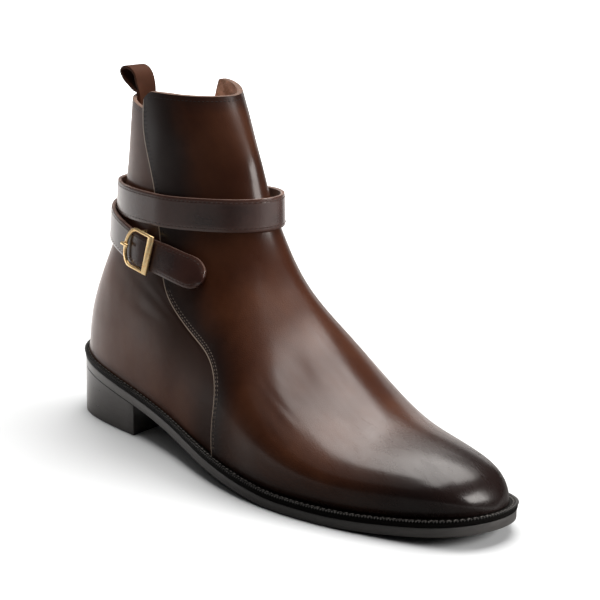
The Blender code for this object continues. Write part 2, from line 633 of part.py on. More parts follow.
def buckle_frame(tree):
    """Place of the buckle: middle between its end bars on the strap's face, and its ways ahead, up and out.

    The last value is how far out the strap's inner face lies halfway between the bars.
    """
    angles, middle, out, up = strap_path(tree)
    face = middle + out * STRAP_THICK / 2
    run = np.append(0, np.cumsum(np.linalg.norm(np.diff(middle, axis=0), axis=1)))
    centre = np.interp(BUCKLE_ANGLE, angles, run)

    def at(values, place):
        return np.array([np.interp(place, run, values[:, i]) for i in range(3)])

    back, front = at(face, centre - BUCKLE_LENGTH / 2), at(face, centre + BUCKLE_LENGTH / 2)
    ahead = (front - back) / np.linalg.norm(front - back)
    outward = np.cross(ahead, at(up, centre))
    outward /= np.linalg.norm(outward)
    under = (at(middle - out * STRAP_THICK / 2, centre) - (back + front) / 2) @ outward
    return ((back + front) / 2, ahead, np.cross(outward, ahead), outward), under


def in_frame(frame, points):
    """Points given along the strap, up across it and out from it, in the working frame."""
    centre, ahead, upward, outward = frame
    return [centre + ahead * a + upward * b + outward * c for a, b, c in points]


def buckle_outline(length_back, length_front, half, corner):
    """Half-round at the back end and square at the front, as (along, up) pairs."""
    points = []
    for t in np.linspace(-90, -270, ROUND_STEPS + 1):
        turn = math.radians(t)
        points.append((-length_back + corner + corner * math.cos(turn), half * math.sin(turn)))
    points += [(length_front, half), (length_front, -half)]
    return points


def ring_mesh(frame):
    """The flat ring of the buckle, round at its back end."""
    half_in = STRAP_WIDTH / 2 + BUCKLE_ROOM
    reach = BUCKLE_LENGTH / 2
    outer = buckle_outline(reach + ROUND_BAR / 2, reach + FLAT_BAR / 2, half_in + RAIL, ROUND_END)
    inner = buckle_outline(reach - ROUND_BAR / 2, reach - FLAT_BAR / 2, half_in, ROUND_END - ROUND_BAR / 2)
    columns = len(outer)
    rings = []
    for outline, level in ((outer, 0.0), (outer, FRAME_THICK), (inner, FRAME_THICK), (inner, 0.0)):
        rings += in_frame(frame, [(a, b, RING_LIFT + level) for a, b in outline])
    faces = ring_faces(4, columns) + closing_faces(3, columns)
    return rings, faces


def prism_mesh(frame, profile, first, last):
    """A closed profile of (up, out) pairs drawn along the strap from first to last."""
    count = len(profile)
    points = [(a, b, c) for a in (first, last) for b, c in profile]
    faces = [(j, (j + 1) % count, count + (j + 1) % count, count + j) for j in range(count)]
    return in_frame(frame, points), faces, count


def bar_mesh(frame, under):
    """The centre bar: it dips below the strap and its ends rise into the rails."""
    room, half = STRAP_WIDTH / 2 + BUCKLE_ROOM, STRAP_WIDTH / 2 + BUCKLE_ROOM + RAIL
    top, low, rise = under - GAP, under - GAP - CENTRE_BAR, RING_LIFT + FRAME_THICK / 2
    profile = [(-half, low), (half, low), (half, rise), (room, rise)]
    profile += [(room, top), (-room, top), (-room, rise), (-half, rise)]
    return prism_mesh(frame, profile, -CENTRE_BAR / 2, CENTRE_BAR / 2)


def prong_mesh(frame):
    """The prong's end, lying over the round bar."""
    low = RING_LIFT + FRAME_THICK + GAP
    half = PRONG_WIDTH / 2
    side, high = low + PRONG_SIDE, low + PRONG_HEIGHT
    profile = [(-half, low), (half, low), (half, side), (half / 2, high), (-half / 2, high), (-half, side)]
    tip = -BUCKLE_LENGTH / 2 - ROUND_BAR / 2 - PRONG_OVER
    return prism_mesh(frame, profile, tip, tip + PRONG_LENGTH)


def loop_mesh(tree):
    """The pull loop: a teardrop with a doubled tail inside the collar, bent round the back of the shaft."""
    collar = LAST.back_line(1)[0][1] - COLLAR_DROP
    arch = along(LOOP_OUTLINE)(np.linspace(0, 1, ARCH_STEPS + 1))
    tail = 2 * LOOP_THICK
    outer = np.vstack([
        [(0, -LOOP_TAIL), (0, -LOOP_TAIL / 2), (0, LOOP_RISE)], arch,
        [(tail, 0), (tail, -LOOP_TAIL / 2), (tail, -LOOP_TAIL)],
    ])
    ahead = np.gradient(arch, axis=0)
    inward = np.stack([ahead[:, 1], -ahead[:, 0]], 1) / np.linalg.norm(ahead, axis=1)[:, None]
    hole = arch + inward * LOOP_THICK
    foot = np.array([[tail / 2, hole[0, 1]]])
    inner = np.vstack([foot, foot, foot, hole, foot, foot, foot])
    columns, rows = len(outer), LOOP_ROWS
    across = LOOP_MIDDLE_Y + LOOP_WIDTH * np.linspace(-0.5, 0.5, rows)
    backs = []
    for y in across:
        hits = [tree.ray_cast(Vector((ANKLE_AXIS[0], y, collar - drop)), Vector((-1, 0, 0)))[0].x
                for drop in np.linspace(PROBE_TOP, LOOP_TAIL, LOOP_PROBES)]
        backs.append(max(hits) + GAP)
    points, faces = [], []
    for y, back in zip(across, backs):
        for a, b in np.vstack([outer, inner]):
            straighten = min(max((b - LOOP_RISE) / LOOP_BEND, 0.0), 1.0)
            points.append((back + (min(backs) - back) * straighten + a, y, collar + b))
    for i in range(rows - 1):
        for j in range(columns):
            a, b = 2 * columns * i + j, 2 * columns * i + (j + 1) % columns
            faces.append((a, a + 2 * columns, b + 2 * columns, b))
            a, b = a + columns, b + columns
            faces.append((a, b, b + 2 * columns, a + 2 * columns))
    for i, flip in ((0, False), (rows - 1, True)):
        for j in range(columns):
            a, b = 2 * columns * i + j, 2 * columns * i + (j + 1) % columns
            quad = (a, b, b + columns, a + columns)
            faces.append(quad[::-1] if flip else quad)
    return points, faces


def join(first, second):
    """Union of two pieces in the first one's object; the second one is only a shape."""
    second.hide_render = True
    second.display_type = "WIRE"
    union = first.modifiers.new("joined", "BOOLEAN")
    union.operation = "UNION"
    union.solver = "EXACT"
    union.object = second


def finish(name, points, faces, cap_rings=None):
    """A mesh object in millimetres of the working frame, merged and with its faces out."""
    mesh = bmesh.new()
    verts = [mesh.verts.new([float(c) for c in p]) for p in points]
    for face in faces:
        if len(set(face)) == len(face):
            mesh.faces.new([verts[i] for i in face])
    if cap_rings:
        mesh.faces.new([verts[i] for i in range(cap_rings)][::-1])
        mesh.faces.new([verts[i] for i in range(cap_rings, 2 * cap_rings)])
    bmesh.ops.remove_doubles(mesh, verts=mesh.verts, dist=MERGE_WITHIN)
    bmesh.ops.dissolve_degenerate(mesh, edges=mesh.edges, dist=MERGE_WITHIN / 2)
    bmesh.ops.recalc_face_normals(mesh, faces=mesh.faces)
    data = bpy.data.meshes.new(name)
    mesh.to_mesh(data)
    mesh.free()
    piece = bpy.data.objects.new(name, data)
    bpy.context.scene.collection.objects.link(piece)
    data.shade_smooth()
    data.set_sharp_from_angle(angle=math.radians(SHARP_ANGLE))
    material = bpy.data.materials.new(name)
    material.use_nodes = True
    shader = material.node_tree.nodes["Principled BSDF"]
    colour, roughness, metallic = FINISHES[name]
    shader.inputs["Base Color"].default_value = (*colour, 1.0)
    shader.inputs["Roughness"].default_value = roughness
    shader.inputs["Metallic"].default_value = metallic
    data.materials.append(material)
    return piece


def place(pieces):
    """Move all pieces so that the origin is under the middle of the whole, in metres."""
    corners = np.array([v.co for piece in pieces for v in piece.data.vertices])
    low, high = corners.min(0), corners.max(0)
    shift = Vector(((low[0] + high[0]) / 2, (low[1] + high[1]) / 2, low[2]))
    for piece in pieces:
        for v in piece.data.vertices:
            v.co = (v.co - shift) * METRES_PER_MM


def main():
    for old in list(bpy.data.objects):
        bpy.data.objects.remove(old, do_unlink=True)
    upper_points, upper_faces = upper_mesh()
    tree = surface_tree(upper_points, upper_faces)
    pieces = [finish("upper", upper_points, upper_faces)]
    board = Plan(inset=WALL + INSOLE_MARGIN, by_margin=1.0)
    pieces.append(finish("insole", *plate_mesh(
        board, lambda x: sole_under(x) + OUTSOLE_THICK + GAP, lambda x: feather_height(x) + INSOLE_THICK,
        INSOLE_STATIONS,
    )))
    pieces.append(finish("welt", *welt_mesh(SOLE_STATIONS)))
    pieces.append(finish("outsole", *plate_mesh(
        Plan(inset=EDGE_INSET), sole_under, lambda x: sole_under(x) + OUTSOLE_THICK, SOLE_STATIONS,
    )))
    heel_points, heel_faces, heel_ring = heel_mesh(HEEL_STATIONS)
    pieces.append(finish("heel", heel_points, heel_faces, heel_ring))
    pieces.append(finish("strap", *strap_mesh(tree)))
    frame, under = buckle_frame(tree)
    ring = finish("buckle_frame", *ring_mesh(frame))
    bar_points, bar_faces, bar_ring = bar_mesh(frame, under)
    bar = finish("buckle_centre_bar", bar_points, bar_faces, bar_ring)
    prong_points, prong_faces, prong_ring = prong_mesh(frame)
    prong = finish("buckle_prong", prong_points, prong_faces, prong_ring)
    join(ring, bar)
    pieces += [ring, bar, prong]
    pieces.append(finish("pull_loop", *loop_mesh(tree)))
    place(pieces)


main()
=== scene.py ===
import json
import math

import bpy
import numpy as np
from mathutils import Matrix, Vector
from mathutils.bvhtree import BVHTree
from mathutils.kdtree import KDTree

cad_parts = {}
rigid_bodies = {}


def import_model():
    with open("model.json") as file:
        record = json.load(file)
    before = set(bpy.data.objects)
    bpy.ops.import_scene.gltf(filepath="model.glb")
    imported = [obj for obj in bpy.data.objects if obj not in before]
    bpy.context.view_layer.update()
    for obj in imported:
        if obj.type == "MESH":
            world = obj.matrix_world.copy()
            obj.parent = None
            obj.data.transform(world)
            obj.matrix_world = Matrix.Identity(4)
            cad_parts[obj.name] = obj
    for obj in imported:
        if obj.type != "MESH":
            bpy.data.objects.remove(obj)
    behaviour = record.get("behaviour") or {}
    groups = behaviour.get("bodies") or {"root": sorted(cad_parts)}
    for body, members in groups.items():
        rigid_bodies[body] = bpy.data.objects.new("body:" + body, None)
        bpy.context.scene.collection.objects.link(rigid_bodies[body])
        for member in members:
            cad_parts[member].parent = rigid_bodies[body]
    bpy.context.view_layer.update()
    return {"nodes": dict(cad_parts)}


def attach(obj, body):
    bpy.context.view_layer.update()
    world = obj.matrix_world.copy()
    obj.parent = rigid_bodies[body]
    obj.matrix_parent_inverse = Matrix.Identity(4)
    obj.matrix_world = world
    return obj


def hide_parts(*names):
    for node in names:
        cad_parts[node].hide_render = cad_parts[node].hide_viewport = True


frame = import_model()
mm = 0.001
ankleAxis = Vector((-75.5, 10.4, 0.0)) * mm  # the strap is wound round this upright line


# Shader tools

class Wire:  # a socket that can stand in a sum
    def __init__(self, paint, socket):
        self.paint = paint
        self.socket = socket

    def maths(self, operation, first, second=0.0):
        return self.paint.add("ShaderNodeMath", {"operation": operation}, {0: first, 1: second})

    def __add__(self, other):
        return self.maths("ADD", self, other)

    def __sub__(self, other):
        return self.maths("SUBTRACT", self, other)

    def __rsub__(self, other):
        return self.maths("SUBTRACT", other, self)

    def __mul__(self, other):
        return self.maths("MULTIPLY", self, other)

    def __truediv__(self, other):
        return self.maths("DIVIDE", self, other)

    __radd__ = __add__
    __rmul__ = __mul__

    def least(self, other):
        return self.maths("MINIMUM", self, other)

    def most(self, other):
        return self.maths("MAXIMUM", self, other)

    def fade(self, start, end):  # smooth step from 0 to 1
        return self.paint.add(
            "ShaderNodeMapRange", {"interpolation_type": "SMOOTHSTEP"}, {0: self, 1: start, 2: end},
        )

    def dip(self, middle, width):  # 1 on a line of this value, 0 beside it
        return 1 - self.maths("ABSOLUTE", self - middle).fade(0.0, width)


class Paint:  # one material
    noiseRough = 0.55

    def __init__(self, name):
        self.material = bpy.data.materials.new(name)
        self.material.use_nodes = True
        self.nodes = self.material.node_tree.nodes
        self.links = self.material.node_tree.links
        self.shader = self.nodes["Principled BSDF"]

    def plug(self, socket, value):
        if isinstance(value, Wire):
            self.links.new(value.socket, socket)
        else:
            socket.default_value = value

    def add(self, kind, settings=None, inputs=None, out=0):
        node = self.nodes.new(kind)
        for key, value in (settings or {}).items():
            setattr(node, key, value)
        for key, value in (inputs or {}).items():
            self.plug(node.inputs[key], value)
        return Wire(self, node.outputs[out])

    def blend(self, share, first, second):
        return self.add("ShaderNodeMix", {"data_type": "RGBA"}, {0: share, 6: first, 7: second}, out=2)

    def noise(self, place, scale, detail=3.0):
        return self.add(
            "ShaderNodeTexNoise", None,
            {"Vector": place, "Scale": scale, "Detail": detail, "Roughness": self.noiseRough},
        )

    def cells(self, place, scale):  # distance to the nearest border of a cell
        return self.add(
            "ShaderNodeTexVoronoi", {"feature": "DISTANCE_TO_EDGE"}, {"Vector": place, "Scale": scale},
        )

    def place(self, turn=(0, 0, 0), stretch=(1, 1, 1)):
        here = self.add("ShaderNodeTexCoord", out="Object")
        if turn == (0, 0, 0) and stretch == (1, 1, 1):
            return here
        turned = [math.radians(angle) for angle in turn]
        return self.add(
            "ShaderNodeMapping", {"vector_type": "TEXTURE"},
            {"Vector": here, "Rotation": turned, "Scale": stretch},
        )

    def axis(self, place, name):
        return self.add("ShaderNodeSeparateXYZ", None, {0: place}, out=name)

    def measure(self, name):  # a distance kept on the mesh
        return self.add("ShaderNodeAttribute", {"attribute_name": name}, None, out="Fac")

    def bump(self, height, strength, depth):
        return self.add("ShaderNodeBump", None, {"Height": height, "Strength": strength, "Distance": depth})

    def shade(self, **sockets):
        for key, value in sockets.items():
            self.plug(self.shader.inputs[key.replace("_", " ")], value)
        return self.material


def rgb(red, green, blue):
    return (red, green, blue, 1.0)


grainMix = {"poreEdge": 0.22, "pores": 0.7, "fineTimes": 2.6, "fine": 0.5, "strength": 0.35}
brushed = (5.0, 1.0, 1.0)  # streaks of the brush are this much longer than wide
noiseBand = (0.3, 0.7)  # most noise lies between these values


def leatherGrain(paint, place, look):
    pores = paint.cells(place, look["grainScale"]).fade(0.0, grainMix["poreEdge"])
    fine = paint.noise(place, look["grainScale"] * grainMix["fineTimes"], 2.0)
    return pores * grainMix["pores"] + fine * grainMix["fine"]


def waxCoat(look, waxed, streaks):  # weight of the polish, laid on in strokes
    low, high = look["polish"]
    stroke, even = look["polishStrokes"]
    return (low + waxed * (high - low)) * (streaks * stroke + even)


panelLook = {
    "dark": rgb(0.0120, 0.0066, 0.0058), "warm": rgb(0.041, 0.0112, 0.0042),
    "light": rgb(0.078, 0.0270, 0.0120), "edge": rgb(0.37, 0.29, 0.23), "edgeLine": (0.0004, 0.0009),
    "cloudScale": 26.0, "cloudBand": (0.3, 0.75), "streakScale": 190.0, "streakTurn": (0, 32, 0),
    "streakFrom": 0.35, "streakShare": 0.5, "wrinkleScale": 620.0, "wrinkleTurn": (0, 38, 0),
    "wrinkleStretch": (6.0, 1.5, 1.0), "wrinkleDeep": 0.8, "grainScale": 1150.0, "grainDepth": 0.00010,
    "rough": 0.40, "streakRough": 0.16, "toeRough": 0.12, "shine": 0.10,
    "polish": (0.04, 0.62), "polishStrokes": (0.9, 0.55), "coatRough": 0.22,
    "waxFront": (0.008, 0.030), "waxInner": (0.008, 0.018), "waxShaft": 0.9,
    "toeBand": (0.060, 0.125), "vampBand": (0.015, 0.090), "shaftBand": (0.085, 0.135),
    "seamBand": (0.002, 0.026), "seamCloud": 0.014, "seamNarrow": 0.016, "seamBurn": 0.92,
    "rimBand": (0.0, 0.016), "rimCloud": 0.01, "rimBurn": 0.75,
    "footBand": (0.0, 0.010), "footBurn": 0.8, "shaftBurn": 0.28,
    "stitchRows": (0.0016, 0.0031), "rowWide": 0.0006, "rowDeep": 1.2,
}


def burnishedPanel(look):
    paint = Paint("panelLeather")
    place = paint.place()
    ahead, inner, height = (paint.axis(place, name) for name in "XYZ")
    cloud = paint.noise(place, look["cloudScale"], 4.0)
    streaks = paint.noise(paint.place(look["streakTurn"], brushed), look["streakScale"])
    wrinkles = paint.noise(paint.place(look["wrinkleTurn"], look["wrinkleStretch"]), look["wrinkleScale"], 2.0)
    seam, rim, foot = paint.measure("seam"), paint.measure("rim"), paint.measure("foot")
    toe, vamp = ahead.fade(*look["toeBand"]), ahead.fade(*look["vampBand"])
    shaft = height.fade(*look["shaftBand"])
    # the vamp, toe and shaft are polished, and the outer instep is only brushed
    waxed = ahead.fade(*look["waxFront"]).most(shaft * look["waxShaft"]).most(inner.fade(*look["waxInner"]))
    drift = cloud - 0.5
    seamBurn = 1 - (seam - shaft * look["seamNarrow"] + drift * look["seamCloud"]).fade(*look["seamBand"])
    rimBurn = 1 - (rim + drift * look["rimCloud"]).fade(*look["rimBand"])
    footBurn = 1 - foot.fade(*look["footBand"])
    burn = (seamBurn * look["seamBurn"]).most(rimBurn * look["rimBurn"]).most(toe)
    burn = burn.most(footBurn * look["footBurn"]).most(shaft * look["shaftBurn"])
    tone = paint.blend(cloud.fade(*look["cloudBand"]), look["warm"], look["light"])
    tone = paint.blend((streaks - look["streakFrom"]) * look["streakShare"], tone, look["warm"])
    colour = paint.blend(burn, tone, look["dark"])
    # a pale line along the panel's border: the lighter edge of the leather, with a painted highlight where the
    # edge catches the light
    colour = paint.blend(1 - seam.fade(*look["edgeLine"]), colour, look["edge"])
    firstRow, secondRow = (seam.dip(row, look["rowWide"]) for row in look["stitchRows"])
    grain = leatherGrain(paint, place, look) - firstRow.most(secondRow) * look["rowDeep"]
    grain = grain + wrinkles * (1 - vamp) * look["wrinkleDeep"]
    return paint.shade(
        Base_Color=colour,
        Roughness=look["rough"] + (streaks - 0.5) * look["streakRough"] - vamp * look["toeRough"],
        Normal=paint.bump(grain, grainMix["strength"], look["grainDepth"]), Specular_IOR_Level=look["shine"],
        Coat_Weight=waxCoat(look, waxed, streaks), Coat_Roughness=look["coatRough"],
    )


quarterLook = {
    "dark": rgb(0.020, 0.0098, 0.0072), "warm": rgb(0.098, 0.038, 0.022), "light": rgb(0.160, 0.070, 0.043),
    "cloudScale": 24.0, "cloudBand": (0.2, 0.85), "cloudRough": 0.12, "streakScale": 150.0,
    "streakTurn": (0, 80, 0), "grainScale": 1150.0, "grainDepth": 0.00010, "rough": 0.40, "shine": 0.05,
    "polish": (0.05, 0.42), "polishStrokes": (0.8, 0.6), "coatRough": 0.24, "waxBack": (-0.085, -0.050),
    "shaftBand": (0.085, 0.125), "seamBand": (0.003, 0.050), "seamCloud": 0.02, "seamNarrow": 0.02,
    "seamBurn": 0.85, "seamRough": 0.12, "rimBand": (0.0, 0.010), "rimBurn": 0.5,
    "footBand": (0.0, 0.006), "footBurn": 0.6,
}


def burnishedQuarter(look):
    paint = Paint("quarterLeather")
    place = paint.place()
    cloud = paint.noise(place, look["cloudScale"], 4.0)
    streaks = paint.noise(paint.place(look["streakTurn"], brushed), look["streakScale"])
    seam, rim, foot = paint.measure("seam"), paint.measure("rim"), paint.measure("foot")
    drift = cloud - 0.5
    shaft = paint.axis(place, "Z").fade(*look["shaftBand"])  # there the dark band beside the seam is narrow
    seamBurn = 1 - (seam + drift * look["seamCloud"] + shaft * look["seamNarrow"]).fade(*look["seamBand"])
    rimBurn, footBurn = 1 - rim.fade(*look["rimBand"]), 1 - foot.fade(*look["footBand"])
    burn = (seamBurn * look["seamBurn"]).most(rimBurn * look["rimBurn"]).most(footBurn * look["footBurn"])
    tone = paint.blend(cloud.fade(*look["cloudBand"]), look["warm"], look["light"])
    waxed = 1 - paint.axis(place, "X").fade(*look["waxBack"])  # the wax is thickest round the heel
    return paint.shade(
        Base_Color=paint.blend(burn, tone, look["dark"]),
        Roughness=look["rough"] + drift * look["cloudRough"] + seamBurn * look["seamRough"],
        Normal=paint.bump(leatherGrain(paint, place, look), grainMix["strength"], look["grainDepth"]),
        Specular_IOR_Level=look["shine"],
        Coat_Weight=waxCoat(look, waxed, streaks), Coat_Roughness=look["coatRough"],
    )


strapLook = {
    "dark": rgb(0.024, 0.0098, 0.0080), "warm": rgb(0.054, 0.0215, 0.0165), "rim": rgb(0.075, 0.036, 0.028),
    "rimLine": (0.0008, 0.0040), "rimShare": 0.8, "cloudScale": 45.0, "cloudBand": (0.3, 0.75),
    "cloudRough": 0.12, "grainScale": 1000.0, "grainDepth": 0.00008, "rough": 0.22, "shine": 0.50,
    "coat": 0.12, "coatRough": 0.20, "stitchRow": 0.0017, "rowWide": 0.0006, "rowDeep": 2.0,
}


def strapLeather(name, look):
    paint = Paint(name)
    place = paint.place()
    cloud = paint.noise(place, look["cloudScale"], 4.0)
    edge = paint.measure("edge")
    colour = paint.blend(cloud.fade(*look["cloudBand"]), look["warm"], look["dark"])
    colour = paint.blend((1 - edge.fade(*look["rimLine"])) * look["rimShare"], colour, look["rim"])
    groove = edge.dip(look["stitchRow"], look["rowWide"])
    height = leatherGrain(paint, place, look) - groove * look["rowDeep"]
    return paint.shade(
        Base_Color=colour, Roughness=look["rough"] + (cloud - 0.5) * look["cloudRough"],
        Normal=paint.bump(height, grainMix["strength"], look["grainDepth"]), Specular_IOR_Level=look["shine"],
        Coat_Weight=look["coat"], Coat_Roughness=look["coatRough"],
    )


rawLook = {
    "layerScale": 900.0, "layerStretch": (1, 1, 0.33), "layers": 0.6, "cloudScale": 160.0, "clouds": 0.4,
    "band": (0.35, 0.65), "strength": 0.5, "depth": 0.00015,
}


def rawLeather(name, pale, deep, rough=0.75):  # cut edges and flesh sides
    paint = Paint(name)
    layers = paint.noise(paint.place(stretch=rawLook["layerStretch"]), rawLook["layerScale"])
    cloud = paint.noise(paint.place(), rawLook["cloudScale"])
    mixed = layers * rawLook["layers"] + cloud * rawLook["clouds"]
    return paint.shade(
        Base_Color=paint.blend(mixed.fade(*rawLook["band"]), deep, pale), Roughness=rough,
        Normal=paint.bump(layers, rawLook["strength"], rawLook["depth"]),
    )


liningLook = {
    "deep": rgb(0.42, 0.225, 0.145), "pale": rgb(0.95, 0.660, 0.500), "patchScale": 120.0, "patches": 0.7,
    "fibreScale": 1500.0, "fibres": 0.3, "band": (0.35, 0.65), "strength": 0.6, "depth": 0.0003,
    "rough": 0.9, "nap": 0.25, "napRough": 0.5,
}


def suedeLining(look):
    paint = Paint("suedeLining")
    place = paint.place()
    patches = paint.noise(place, look["patchScale"], 4.0)
    fibres = paint.noise(place, look["fibreScale"])
    mixed = patches * look["patches"] + fibres * look["fibres"]
    return paint.shade(
        Base_Color=paint.blend(mixed.fade(*look["band"]), look["deep"], look["pale"]), Roughness=look["rough"],
        Normal=paint.bump(fibres, look["strength"], look["depth"]),
        Sheen_Weight=look["nap"], Sheen_Roughness=look["napRough"],
    )


edgeLook = {
    "smearScale": 140.0, "smearStretch": (1, 1, 0.25), "fineScale": 1300.0, "darker": 0.88, "lighter": 1.12,
    "smearRough": 0.12, "smearDeep": 0.4, "strength": 0.3,
}


def blackEdge(name, tone, rough, bumpDepth=0.00012, shine=0.5):  # waxed and painted sole leather
    paint = Paint(name)
    smear = paint.noise(paint.place(stretch=edgeLook["smearStretch"]), edgeLook["smearScale"], 4.0)
    fine = paint.noise(paint.place(), edgeLook["fineScale"], 2.0)
    dark, light = (rgb(*[c * edgeLook[key] for c in tone]) for key in ("darker", "lighter"))
    return paint.shade(
        Base_Color=paint.blend(smear.fade(*noiseBand), dark, light),
        Roughness=rough + (smear - 0.5) * edgeLook["smearRough"],
        Normal=paint.bump(fine + smear * edgeLook["smearDeep"], edgeLook["strength"], bumpDepth),
        Specular_IOR_Level=shine,
    )


goldLook = {
    "deep": rgb(0.96, 0.62, 0.27), "pale": rgb(1.0, 0.80, 0.46), "wearScale": 700.0, "rough": 0.22,
    "wearRough": 0.16, "metal": 0.92,
}


def goldPlate(look):
    paint = Paint("goldPlate")
    wear = paint.noise(paint.place(), look["wearScale"])
    return paint.shade(
        Base_Color=paint.blend(wear.fade(*noiseBand), look["deep"], look["pale"]),
        Roughness=look["rough"] + wear * look["wearRough"], Metallic=look["metal"],
    )


threadLook = {"twistScale": 2400.0, "darker": 0.6, "strength": 0.4, "depth": 0.0001, "rough": 0.5, "shine": 0.2}


def waxedThread(name, tone):
    paint = Paint(name)
    twist = paint.noise(paint.place(), threadLook["twistScale"], 2.0)
    shade = rgb(*[c * threadLook["darker"] for c in tone])
    return paint.shade(
        Base_Color=paint.blend(twist.fade(*noiseBand), shade, rgb(*tone)), Roughness=threadLook["rough"],
        Normal=paint.bump(twist, threadLook["strength"], threadLook["depth"]),
        Specular_IOR_Level=threadLook["shine"],
    )


# Modelling tools

mergeGap = 0.00001
quadAngle, sharpAngle, bevelAngle = 38, 48, 40  # degrees
smoothAngle, bevelSmoothAngle = 40, 35


def workOn(piece, mode="OBJECT"):
    if bpy.context.object and bpy.context.object.mode != "OBJECT":
        bpy.ops.object.mode_set(mode="OBJECT")
    bpy.ops.object.select_all(action="DESELECT")
    piece.select_set(True)
    bpy.context.view_layer.objects.active = piece
    bpy.ops.object.mode_set(mode=mode)


def copyNode(node, name, regular=0.0):  # a CAD solid's shape, merged and back in quads
    mesh = frame["nodes"][node].data.copy()
    mesh.materials.clear()
    piece = bpy.data.objects.new(name, mesh)
    bpy.context.scene.collection.objects.link(piece)
    workOn(piece, "EDIT")
    bpy.ops.mesh.select_all(action="SELECT")
    bpy.ops.mesh.customdata_custom_splitnormals_clear()
    bpy.ops.mesh.remove_doubles(threshold=mergeGap)
    bpy.ops.mesh.tris_convert_to_quads(
        face_threshold=math.radians(quadAngle), shape_threshold=math.radians(180), topology_influence=regular,
    )
    bpy.ops.mesh.select_all(action="DESELECT")
    bpy.ops.object.mode_set(mode="OBJECT")
    return piece


def creaseSharp(piece, crease):
    workOn(piece, "EDIT")
    bpy.ops.mesh.select_mode(type="EDGE")
    bpy.ops.mesh.select_all(action="DESELECT")
    bpy.ops.mesh.edges_select_sharp(sharpness=math.radians(sharpAngle))
    bpy.ops.mesh.mark_sharp()
    bpy.ops.transform.edge_crease(value=crease)
    bpy.ops.mesh.select_mode(type="FACE")
    bpy.ops.mesh.select_all(action="DESELECT")
    bpy.ops.object.mode_set(mode="OBJECT")


def paintRegion(piece, start, way, slot):  # the face a straight look meets, out to the sharp edges round it
    bpy.context.view_layer.update()
    found, _, _, face = piece.ray_cast(Vector(start), Vector(way))
    piece.data.polygons[face].select = found
    workOn(piece, "EDIT")
    bpy.ops.mesh.select_mode(type="FACE")
    bpy.ops.mesh.select_linked(delimit={"SHARP"})
    piece.active_material_index = slot
    bpy.ops.object.material_slot_assign()
    bpy.ops.mesh.select_all(action="DESELECT")
    bpy.ops.object.mode_set(mode="OBJECT")


def applyModifier(piece, kind, **settings):
    workOn(piece)
    modifier = piece.modifiers.new(kind.lower(), kind)
    for key, value in settings.items():
        setattr(modifier, key, value)
    bpy.ops.object.modifier_apply(modifier=modifier.name)


def smoothOut(piece, levels):
    applyModifier(piece, "SUBSURF", levels=levels, render_levels=levels)
    workOn(piece)
    bpy.ops.object.shade_smooth_by_angle(angle=math.radians(smoothAngle))


def roundEdges(piece, width, segments=2, slot=-1):
    applyModifier(
        piece, "BEVEL", width=width, segments=segments, limit_method="ANGLE",
        angle_limit=math.radians(bevelAngle), material=slot,
    )
    bpy.ops.object.shade_smooth_by_angle(angle=math.radians(bevelSmoothAngle))


def borders(piece, slotA, slotB):  # lines of vertices where two finishes meet, each in order
    sides = {}
    for face in piece.data.polygons:
        for key in face.edge_keys:
            sides.setdefault(key, set()).add(face.material_index)
    links = {}
    for (a, b), slots in sides.items():
        if slots == {slotA, slotB}:
            links.setdefault(a, []).append(b)
            links.setdefault(b, []).append(a)
    lines, done = [], set()
    for start in sorted(links, key=lambda v: len(links[v])):
        if start in done:
            continue
        line, here = [start], start
        done.add(start)
        while True:
            ahead = [v for v in links[here] if v not in done]
            if not ahead:
                break
            here = ahead[0]
            done.add(here)
            line.append(here)
        if len(line) > 2 and start in links[here]:
            line.append(start)
        lines.append(line)
    return lines


def keepDistance(piece, name, lines, parts=8):  # every vertex remembers how far it is from these lines
    points = []
    for line in lines:
        spots = [piece.data.vertices[v].co for v in line]
        for a, b in zip(spots, spots[1:]):
            points += [a.lerp(b, t / parts) for t in range(parts)]
    tree = KDTree(len(points))
    for i, point in enumerate(points):
        tree.insert(point, i)
    tree.balance()
    layer = piece.data.attributes.new(name, "FLOAT", "POINT")
    layer.data.foreach_set("value", [tree.find(v.co)[2] for v in piece.data.vertices])


def surfaceOf(piece, slots):
    faces = [list(f.vertices) for f in piece.data.polygons if f.material_index in slots]
    return BVHTree.FromPolygons([v.co for v in piece.data.vertices], faces)


def stitchLine(piece, line, slot, inset, pitch, trim=0.0, peek=0.0005):
    # places along a row that lies inset from a border, on the faces of one slot
    beside = {}
    for face in piece.data.polygons:
        if face.material_index == slot:
            for v in face.vertices:
                beside.setdefault(v, []).append(face.center)
    surface = surfaceOf(piece, [slot])
    row = []
    for i, v in enumerate(line):
        here = piece.data.vertices[v].co
        if v not in beside:
            continue
        beyond = (max(i - 1, 0), min(i + 1, len(line) - 1))
        before, after = (piece.data.vertices[line[j]].co for j in beyond)
        ahead = (after - before).normalized()
        inward = sum(beside[v], Vector()) / len(beside[v]) - here
        inward = (inward - ahead * inward.dot(ahead)).normalized()
        row.append(surface.find_nearest(here + inward * inset)[0])
    spots = np.array(row)
    spots[1:-1] = (spots[:-2] + 2 * spots[1:-1] + spots[2:]) / 4
    run = np.append(0, np.cumsum(np.linalg.norm(np.diff(spots, axis=0), axis=1)))
    marks = np.arange(trim + pitch / 2, run[-1] - trim, pitch)
    places = []
    for mark in marks:
        spot, ahead = (Vector([np.interp(m, run, column) for column in spots.T]) for m in (mark, mark + peek))
        spot, normal = surface.find_nearest(spot)[:2]
        places.append((spot, ahead - spot, normal))
    return places


